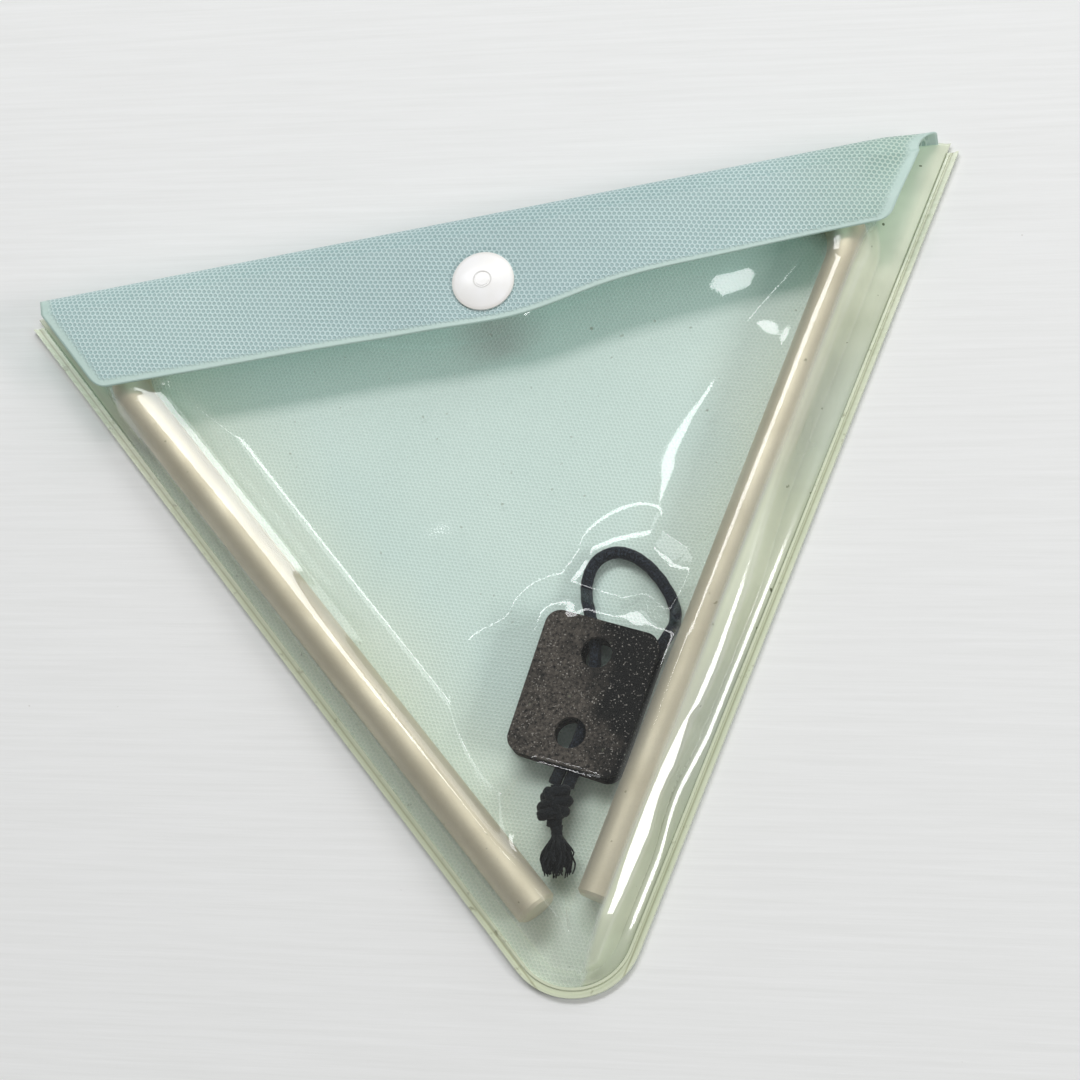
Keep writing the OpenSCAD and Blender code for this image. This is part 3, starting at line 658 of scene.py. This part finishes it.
# The tilted plane beside the right rod: where it starts and how wide it is, along Y
STREAK_FROM = ([-70, -62, -55, -46, -40, -33, -30, -20, -10, 0, 10],
               [3.2, 3.0, 2.6, 2.5, 2.7, 3.3, 3.9, 4.2, 4.0, 3.6, 3.0])
STREAK_W = ([-70, -62, -50, -42, -36, -32, -30, -24, -15, -5, 2, 10],
            [0.3, 1.2, 2.4, 2.2, 1.2, 0.4, 0.9, 1.1, 0.8, 0.5, 0.2, 0.2])
# The flat strip beside the left rod: its height at a distance from the rod, and its tilt
STRIP_Z, STRIP_AT, STRIP_TILT = 8.2, 5.5, 1.9
# The least and the greatest width of the steep fall on the outer slopes
STEEP_W = (0.5, 2.4)
# The crease below the snap, and two hills: place, radii, turn and height
ARC = ((-27, 54.9), (-21, 53.1), (-13, 51.4), (-3, 51.0), (3, 51.9), (10, 53.8))
ARC_HIGH, ARC_WIDTH = 0.64, 1.3
HILLS = (((49, 47.5), (8.5, 9.0), -0.3, 3.8), ((-15.5, 10.5), (9, 5.5), 0.2, 0.42))


# Distances in the case
def half_w(y, inset):
    """Half the case's width at y, less an inset."""
    r = TIP_R - inset
    v = y - TIP_Y
    straight = (r + v * math.sin(SIDE_A)) / math.cos(SIDE_A)
    return np.where(v < -r * math.sin(SIDE_A), np.sqrt(np.maximum(0, r * r - v * v)), straight)


def edge_dist(x, y, inset):
    """Distance inwards from the case's outline, less an inset."""
    r = TIP_R - inset
    v = y - TIP_Y
    to_side = r - np.abs(x) * math.cos(SIDE_A) + v * math.sin(SIDE_A)
    return np.where(np.arctan2(-v, np.abs(x)) > SIDE_A, r - np.hypot(x, v), to_side)


def leg_dist(qx, qy, side):
    """Distance inwards from the centre line of the left leg, side -1, or the right one, side 1."""
    return IN_R - side * qx * COS_30 + qy * 0.5


def bend_coords(qx, qy, side):
    """Share of a bend's turn, 0 at the bar and 1 at the leg, and the distance outwards from its line."""
    vx, vy = side * qx - SIDE_LEN / 2 + BEND_R * TAN_60, qy - IN_R + BEND_R
    return np.degrees(np.arctan2(vx, vy)) / 120, np.hypot(vx, vy) - BEND_R


def rod_away(x, y):
    """Distance from the rod's centre line, with its two bends."""
    far = 99.0
    qx, qy = local_coords(x, y, TRI_AT, TRI_TURN)
    half = SIDE_LEN / 2
    flat = half - BEND_R * TAN_60
    ways = [np.where(np.abs(qx) <= flat, np.abs(IN_R - qy), far)]
    for side in (-1, 1):
        down = (half - side * qx) * 0.5 + (IN_R - qy) * COS_30
        ways.append(np.where(down >= half - flat, np.abs(leg_dist(qx, qy, side)), far))
        turn, away = bend_coords(qx, qy, side)
        ways.append(np.where((turn >= 0) & (turn <= 1), np.abs(away), far))
    return np.minimum.reduce(ways)


# Forms of the front panel
def ridge(x, y, a, b, amp, width):
    """A crease from a to b that fades at its ends."""
    taper = 0.25
    dx, dy = b[0] - a[0], b[1] - a[1]
    length = math.hypot(dx, dy)
    t = ((x - a[0]) * dx + (y - a[1]) * dy) / length**2
    d = ((x - a[0]) * dy - (y - a[1]) * dx) / length
    ends = smoothstep((t + taper) / (2 * taper)) * smoothstep((1 + taper - t) / (2 * taper))
    return amp * np.exp(-((d / width) ** 2)) * ends


def hill(x, y, at, radii, turn, amp):
    """A soft oval hill."""
    p, q = local_coords(x, y, at, turn)
    return amp * np.exp(-((p / radii[0]) ** 2 + (q / radii[1]) ** 2))


def wrinkles(x, y):
    """The crease below the snap and the soft hills between the rods."""
    creases = sum(ridge(x, y, a, b, ARC_HIGH, ARC_WIDTH) for a, b in zip(ARC[:-1], ARC[1:]))
    return creases + sum(hill(x, y, *form) for form in HILLS)


def tent(d, run, k=0.0):
    """Height of a sheet over a rod at d = 0 that comes down to rest at d = run, its foot rounded over k."""
    rise = ROD_Z - REST_Z
    a = np.arctan2(rise, run) + np.arcsin(np.clip(COVER_R / np.hypot(run, rise), -1, 1))
    arc = ROD_Z + np.sqrt(np.maximum(0, COVER_R**2 - d * d))
    line = REST_Z + soft_max((run - d) * np.tan(a), k)
    return np.where(d < 0, CREST_Z, np.where(d < COVER_R * np.sin(a), arc, line))


def bend_tent(qx, qy, side):
    """Height over a bent corner, from 1 mm outside its line, its run between the bar's and the leg's."""
    turn, away = bend_coords(qx, qy, side)
    run = BAR_RUN + (LEG_RUN - BAR_RUN) * np.clip(turn, 0, 1)
    return np.where((turn < 0) | (turn > 1), REST_Z, tent(-away - 1, run))


def fall(d, high, run, k, foot_k, ledge):
    """A lift that comes down to zero over run, after a gentle ledge, rounded over k and at its foot."""
    drop = LEDGE_TILT * soft_max(d, k) + (high / run - LEDGE_TILT) * soft_max(d - ledge, k)
    return soft_max(high - drop, foot_k)


def leaf_lift(hx, hy):
    """Lift by the leather, higher towards its top, with two ledges at its top edge."""
    # The leaf counts as 7 mm wider on the right, so that the lift reaches the rod
    wider, margin, top_rise = 3.5, 1.2, 1.1
    side = np.maximum(0, np.abs(hx - wider) - LEAF_W / 2 - wider + LEAF_R)
    leaf = np.hypot(side, np.maximum(0, np.abs(hy) - LEAF_H / 2 + LEAF_R)) - LEAF_R
    near_top = smoothstep((hy - 6) / 4)
    start = swell_at(hx, *LEDGE_START) * near_top
    ledge = swell_at(hx, *LEDGE_LEN) * near_top
    high = FRONT_LEAF_Z + LEAF_T + LIFT_GAP - REST_Z + top_rise * np.clip((hy + 20) / 28, 0, 1)
    run = 13 - 6 * smoothstep((hy - 4) / 8)
    return fall(leaf - margin + start, high, run, k=0.3, foot_k=0.1, ledge=ledge)


def loop_lift(hx, hy):
    """Lift by the cord's loop, with folds that run out from it like a star."""
    dx, dy = hx - LOOP_AT[0], hy - LOOP_AT[1]
    way = (np.degrees(np.arctan2(dy, dx) + HOLDER_A) + 180) % 360 - 180
    start, end = np.interp(way, *LOOP_IN), np.interp(way, *LOOP_OUT)
    high = LOOP_TOP + LIFT_GAP - REST_Z
    return fall(np.hypot(dx, dy) - start, high, end - start, k=1.2, foot_k=0.5, ledge=0.5)


def tail_lift(hx, hy):
    """Lift by the knot and the tassel, none over the leather."""
    past = np.maximum(0, np.maximum(hy - TAIL_TOP, TAIL_END - hy))
    tail = np.hypot(hx - (KNOT_X + TASSEL_X) / 2, past) - TAIL_R
    return (HANG_Z + KNOT_D / 2 + TAIL_GAP - REST_Z) * fade(tail / 12) * fade((hy + 15) / 2.5)


def outer_slope(d, run, plane_to, tilt, inset, plane_from=0.0):
    """Height outside a leg: over the rod, down two planes, a steep fall, a low band, a roll to the weld."""
    roll, roll_w, low_slope, first, least_plane, least_fall = 0.78, 1.9, 0.1, 0.5, 0.1, 0.9
    foot = run - roll_w - inset
    turn_off = COVER_R * first / math.sqrt(1 + first**2)
    plane_from = np.maximum(plane_from, turn_off)
    plane_to = np.clip(plane_to, plane_from + least_plane, foot - least_fall)
    near = np.clip(d, 0, turn_off)
    down = first * (plane_from - turn_off) + tilt * (plane_to - plane_from)
    drop = first * np.clip(d - turn_off, 0, plane_from - turn_off)
    drop = drop + tilt * np.clip(d - plane_from, 0, plane_to - plane_from)
    drop = drop + COVER_R - np.sqrt(COVER_R**2 - near**2) + low_slope * np.maximum(0, d - plane_to)
    at_foot = COVER_R - np.sqrt(COVER_R**2 - turn_off**2) + down + low_slope * (run - plane_to) + roll
    steep = np.maximum(0, CREST_Z - EDGE_Z - at_foot)
    steep_w = np.clip(foot - plane_to, *STEEP_W)
    drop = drop + steep * smoothstep((d - plane_to) / steep_w) + roll * smoothstep((d - foot) / roll_w)
    return CREST_Z - drop


def inner_height(x, y, qx, qy, left, right):
    """Height between the legs: hung from the rods, lifted by the holder, pressed down at the snap's seat."""
    hung = np.maximum.reduce([
        tent(left, LEFT_RUN, 0.5),
        tent(right, np.interp(y, *RIGHT_RUN), 0.5 + swell_at(y, (18, 15, 0.8))),
        tent(IN_R - qy, BAR_RUN),
        bend_tent(qx, qy, -1),
        bend_tent(qx, qy, 1),
    ]) - REST_Z
    held = local_coords(x, y, HOLDER_AT, HOLDER_A)
    lifted = np.maximum.reduce([leaf_lift(*held), loop_lift(*held), tail_lift(*held)])
    z = np.minimum(CREST_Z, REST_Z + (lifted**SHARP + hung**SHARP) ** (1 / SHARP))
    strip = np.minimum(CREST_Z - 0.2 * soft_max(left - 0.9, 0.3), STRIP_Z - STRIP_TILT * (left - STRIP_AT))
    on_strip = smoothstep((y + 12) / 34) * smoothstep((54 - y) / 1.5) * smoothstep(left + 0.5)
    z = z + (np.maximum(z, strip) - z) * on_strip
    seat = fade(((x**4 + (y - SNAP_Y) ** 4) ** 0.25 - SEAT_R) / SEAT_FADE)
    return z + (SEAT_Z - z) * seat


def with_outer_slopes(x, y, z, qx, qy, left, right):
    """The height with slopes outside the legs and the bends, which swell slowly along the edge."""
    w = edge_dist(x, y, RIM)
    least_run = 4.0
    wave = waves(y, (1.0, 0.13, 1.0), (0.6, 0.31, 0.4))
    start = np.interp(y, *STREAK_FROM)
    tilt = 0.72 + 0.02 * wave + 0.45 * smoothstep((y - 1) / 14)
    inset = 0.15 + swell_at(y, (-45, 12, 1.1))
    # Where the plane ends, its tilt, how far the foot stands in, and where the plane starts
    for d, form in (
        (left, (4.2 + 0.25 * wave, 0.85 + 0.05 * wave, 0.1, 0.0)),
        (right, (start + np.interp(y, *STREAK_W), tilt, inset, start)),
    ):
        out = outer_slope(-d, np.maximum(least_run, w - d), *form)
        z = np.where(d < 0, np.minimum(z, np.maximum(out, EDGE_Z)), z)
    for side in (-1, 1):
        turn, away = bend_coords(qx, qy, side)
        out = outer_slope(away, np.maximum(least_run, w + away), 3.6, 0.85, 0.1)
        outside = (turn > 0) & (turn < 1) & (away > 0)
        z = np.where(outside, np.minimum(z, np.maximum(out, EDGE_Z)), z)
    return z


def panel_z(x, y):
    """Height of the front panel's underside: the solid's form, with small folds and waves."""
    qx, qy = local_coords(x, y, TRI_AT, TRI_TURN)
    left, right = leg_dist(qx, qy, -1), leg_dist(qx, qy, 1)
    z = inner_height(x, y, qx, qy, left, right)
    bar = IN_R - qy
    over_bar = ROD_Z + np.sqrt(np.maximum(0, COVER_R**2 - bar**2))
    z = np.maximum(z, np.where(np.abs(bar) < COVER_R, over_bar, 0))
    inside = smoothstep(left / 6) * smoothstep(right / 6) * fade((y - 66) / 3)
    z = with_outer_slopes(x, y, z + wrinkles(x, y) * inside, qx, qy, left, right)
    tip = 1 - np.clip((TIP_FALL[0] - y) / (TIP_FALL[0] - TIP_FALL[1]), 0, 1) ** 1.5
    return EDGE_Z + (z - EDGE_Z) * tip


def clear_of_rods(x, y, z):
    """No point of the sheet is inside a rod, wherever the triangle's play takes it."""
    for play, reach in ((0.0, COVER_R - 0.15), (PLAY_HIGH, ROD_R + 0.1), (PLAY_LOW, ROD_R + 0.1)):
        away = rod_away(x, y - play)
        over = ROD_Z + np.sqrt(np.maximum(0, reach**2 - away**2))
        z = np.where((away < reach) & (y - play > ROD_END_Y), np.maximum(z, over), z)
    return z


def cloudy_and_painted_light_field(x, y):
    """How milky the clear sheet is, clear in the middle: milky haze over the rods, and on the margins, the
    top corners and a band inside the left rod, painted brightness and a painted reflection.
    """
    qx, qy = local_coords(x, y, TRI_AT, TRI_TURN)
    left, right = leg_dist(qx, qy, -1), leg_dist(qx, qy, 1)
    along = 1 + waves(y, (0.25, 0.11, 2))
    # Margins: milky wear plus painted brightness standing in for light through the vinyl and a side light's
    # reflection, strong on the right, faint on the left
    rubbed_and_painted_light = 0.46 * fade((right + 3.0) / 1.6) * along + 0.05 * fade((left + 3.0) / 1.6)
    over = 0.06 * fade((np.abs(right) - 3.2) / 1.5) + 0.05 * fade((np.abs(left) - 3.2) / 1.5)
    # Painted reflection: a pale band inside the left rod, where the sloping film would mirror a broad bright
    # light
    band = 0.07 * fade(np.abs(left - 7.8) / 3.4) * smoothstep((y + 30) / 40) * smoothstep((56 - y) / 6)
    # Painted brightness on the margins at the top corners, standing in for light coming through the vinyl
    ends = 0.5 * smoothstep((y - 40) / 12) * fade((np.minimum(left, right) + 4.4) / 2.2)
    return rubbed_and_painted_light + over + band + ends


def make_front():
    """The clear sheet, from its mouth under the flap to the weld round the tip."""
    rows, cols, thick = 300, 300, 0.34
    crowd_x, crowd_y = 0.94, 1.12
    rim = WELD_W + 0.15
    past_bar, past_bar_ends, least_half = 2.4, 3.0, 0.4
    v = np.linspace(0, 1, rows)[:, None]
    u = np.linspace(-1, 1, cols)
    u = np.sign(u) * np.abs(u) ** crowd_x
    top = (BAR_Y + past_bar + past_bar_ends * smoothstep((np.abs(u) - 0.86) / 0.06))[None]
    low = -Y_FOLD + rim + 0.05
    y = top + (low - top) * (1 - (1 - v) ** crowd_y)
    x = np.maximum(half_w(y, rim), least_half) * u[None]
    under = np.stack([x, y, clear_of_rods(x, y, panel_z(x, y))], -1)
    n = grid_normals(under)
    n[:, 0] = n[:, -1] = n[-1] = (0, 0, 1)
    obj = slab("front_panel_clear", under, under + n * thick, CLEAR)
    # Store the sheet's milky haze with its painted brightness and painted reflection
    mark_points(obj, "cloudy_and_painted_light", cloudy_and_painted_light_field(x, y))
    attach(obj, "pouch")
    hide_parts("front_panel")


make_front()

# Flap and fold, one sheet: the hem's line as shares of the right half's width and of the flap's slant
HEM = [(-0.36, 1.12), (0.03, 1.34), (0.11, 1.26), (0.2, 0.9), (0.3, 0.5), (0.42, 0.3), (0.7, 0.08)]
HEM_LEFT, HEM_RIGHT = Y_FOLD - FLAP_LEFT, Y_FOLD - FLAP_RIGHT
FOLD_ROWS, FLAP_ROWS, FLAP_COLS = 26, 60, 300
FOLD_END_X, FOLD_SINK = 93.0, 2.2
CORNER_R, CORNER_FROM = 2.2, 0.87
FLAP_WAVES, FLAP_RISE = ((0.35, 0.075, 0.6), (0.22, 0.17, 2.0)), 0.12
# The flap is flat within CALM_R of the snap and takes up its waves over CALM_FADE
CALM_R, CALM_FADE = 7, 9


def hem_ends():
    """The hem's left and right end along X."""
    return -float(half_w(HEM_LEFT, INSET_L)), float(half_w(HEM_RIGHT, INSET_R))


def hem_line(x):
    """The hem's place along Y, smoothed."""
    x_l, x_r = hem_ends()
    xs = [x_l] + [share * x_r for share, _ in HEM] + [x_r]
    ys = [HEM_LEFT] + [HEM_RIGHT + slant * (HEM_LEFT - HEM_RIGHT) for _, slant in HEM] + [HEM_RIGHT]
    fine = np.linspace(x_l, x_r, 400)
    k = np.hanning(41)
    pad = np.pad(np.interp(fine, xs, ys), 20, mode="reflect", reflect_type="odd")
    soft = np.convolve(pad, k / k.sum(), mode="valid")
    return np.interp(x, fine, soft)


def fold_rows(u, root_l, root_r, sink):
    """Half tube of the fold, from the back panel up, flattened at its right end."""
    rows = []
    for a in np.linspace(-math.pi / 2, math.pi / 2, FOLD_ROWS):
        t = smoothstep((a + 0.1) / (math.pi / 2))
        left = -FOLD_END_X + (root_l + FOLD_END_X) * t
        right = FOLD_END_X + (root_r - FOLD_END_X) * t
        y = Y_ROOT + FOLD_R * math.cos(a)
        z = FOLD_Z - sink / 2 + (FOLD_R - sink / 2) * math.sin(a)
        rows.append(np.stack([left + (right - left) * u, np.full_like(u, y), z], -1))
    return rows


def flap_rows(u, root_l, root_r, sink):
    """The flap from its root to the hem, with round corners and slow waves, flat at the snap."""
    hem_l, hem_r = hem_ends()
    rows = []
    for t in np.arange(1, FLAP_ROWS + 1) / FLAP_ROWS:
        turn = max(0.0, (t - CORNER_FROM) / (1 - CORNER_FROM))
        recede = CORNER_R * (1 - math.sqrt(max(0.0, 1 - turn**2)))
        left = root_l * (1 - t) + hem_l * t + recede
        right = root_r * (1 - t) + hem_r * t - recede
        x = left + (right - left) * u
        y = Y_ROOT + (hem_line(x) - Y_ROOT) * t
        wave = waves(x, *FLAP_WAVES) * smoothstep(t * 1.2)
        away = np.hypot(x, y - SNAP_Y)
        calm = smoothstep((away - CALM_R) / CALM_FADE)
        z = FLAP_Z + FLAP_RISE + np.maximum(-0.1, (wave * 0.6 + 0.22) * calm) - sink * fade(t / 0.75)
        rows.append(np.stack([x, y, np.where(away < CALM_R, FLAP_Z, z)], -1))
    return rows


def pressed_share(grid, u):
    """Where the net is pressed in: not in the rims along the flap's ends and its hem."""
    rim_l, rim_r, rim_hem, more_left, beyond, far = 2.6, 4.5, 1.1, 0.8, 1.2, 9.0
    x = grid[..., 0]
    ends = np.minimum((x - x[:, :1]) / rim_l, (x[:, -1:] - x + beyond) / rim_r)
    hem = np.full(x.shape, far)
    flap = grid[FOLD_ROWS:]
    hem[FOLD_ROWS:] = (flap[..., 1] - hem_line(flap[..., 0])) / (rim_hem + more_left * (1 - u))
    return smoothstep((np.minimum(ends, hem) - 0.55) / 0.5)


def make_flap():
    """Half tube of the fold and the flap, as one embossed sheet with smooth rims."""
    u = np.linspace(0, 1, FLAP_COLS)
    sink = FOLD_SINK * smoothstep((u - 0.94) / 0.06)
    root = -float(half_w(Y_ROOT, INSET_L)), float(half_w(Y_ROOT, INSET_R))
    grid = np.array(fold_rows(u, *root, sink) + flap_rows(u, *root, sink))
    obj = slab("flap_folded", grid, grid + grid_normals(grid) * SHEET, FLAP_VINYL)
    mark_points(obj, "pressed", pressed_share(grid, u))
    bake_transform(obj)
    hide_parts("flap_fold", "flap")


make_flap()

# CAD nodes that show, with their materials
for node, material in (
    ("back_panel", BACK_VINYL), ("edge_weld", WELD), ("snap_cap", SNAP), ("snap_socket", SNAP),
    ("snap_stud", SNAP), ("snap_back_cap", SNAP), ("triangle_rod", ROD), ("grip_front_leaf", LEATHER),
    ("grip_back_leaf", LEATHER),
):
    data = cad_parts[node].data
    data.materials.clear()
    data.materials.append(material)

# Floor and lights, in metres
FLOOR_HALF, FLOOR_Z, FLOOR_TURN = 3.0, -0.0001, math.radians(-10.5)
LIGHT_FAR, LIGHTS_ROUND = 1.6, Vector((0, 0.02, 0))
WORLD_STRENGTH = 0.3


def make_floor():
    """The painted board that the case lies on."""
    s = FLOOR_HALF
    mesh = bpy.data.meshes.new("floor")
    mesh.from_pydata([(-s, -s, 0), (s, -s, 0), (s, s, 0), (-s, s, 0)], [], [(0, 1, 2, 3)])
    mesh.materials.append(floor_paint())
    obj = add_object("floor", mesh)
    obj.location.z = FLOOR_Z
    obj.rotation_euler.z = FLOOR_TURN


def area_light(name, direction, size, power, colour=(1, 1, 1)):
    """A rectangular light in a direction from the object, facing it."""
    data = bpy.data.lights.new(name, "AREA")
    data.shape = "RECTANGLE"
    data.size, data.size_y = size
    data.energy = power
    data.color = colour
    obj = add_object(name, data)
    d = Vector(direction).normalized()
    obj.location = d * LIGHT_FAR + LIGHTS_ROUND
    obj.rotation_euler = d.to_track_quat("Z", "Y").to_euler()


def make_world():
    """Even white light from all round."""
    world = bpy.data.worlds.new("world")
    bpy.context.scene.world = world
    world.use_nodes = True
    inputs = world.node_tree.nodes["Background"].inputs
    inputs[0].default_value = (1.0, 1.0, 1.0, 1)
    inputs[1].default_value = WORLD_STRENGTH


make_floor()
area_light("window", (-0.05, 0.56, 0.79), (1.3, 0.35), 14.0, (0.97, 0.985, 1.0))
area_light("sky", (0.44, 0.75, 0.49), (0.7, 0.7), 4.0, (0.95, 0.98, 1.0))
area_light("side", (0.82, -0.34, 0.46), (0.52, 0.3), 8.8)
make_world()
bpy.context.scene.view_settings.view_transform = "Standard"
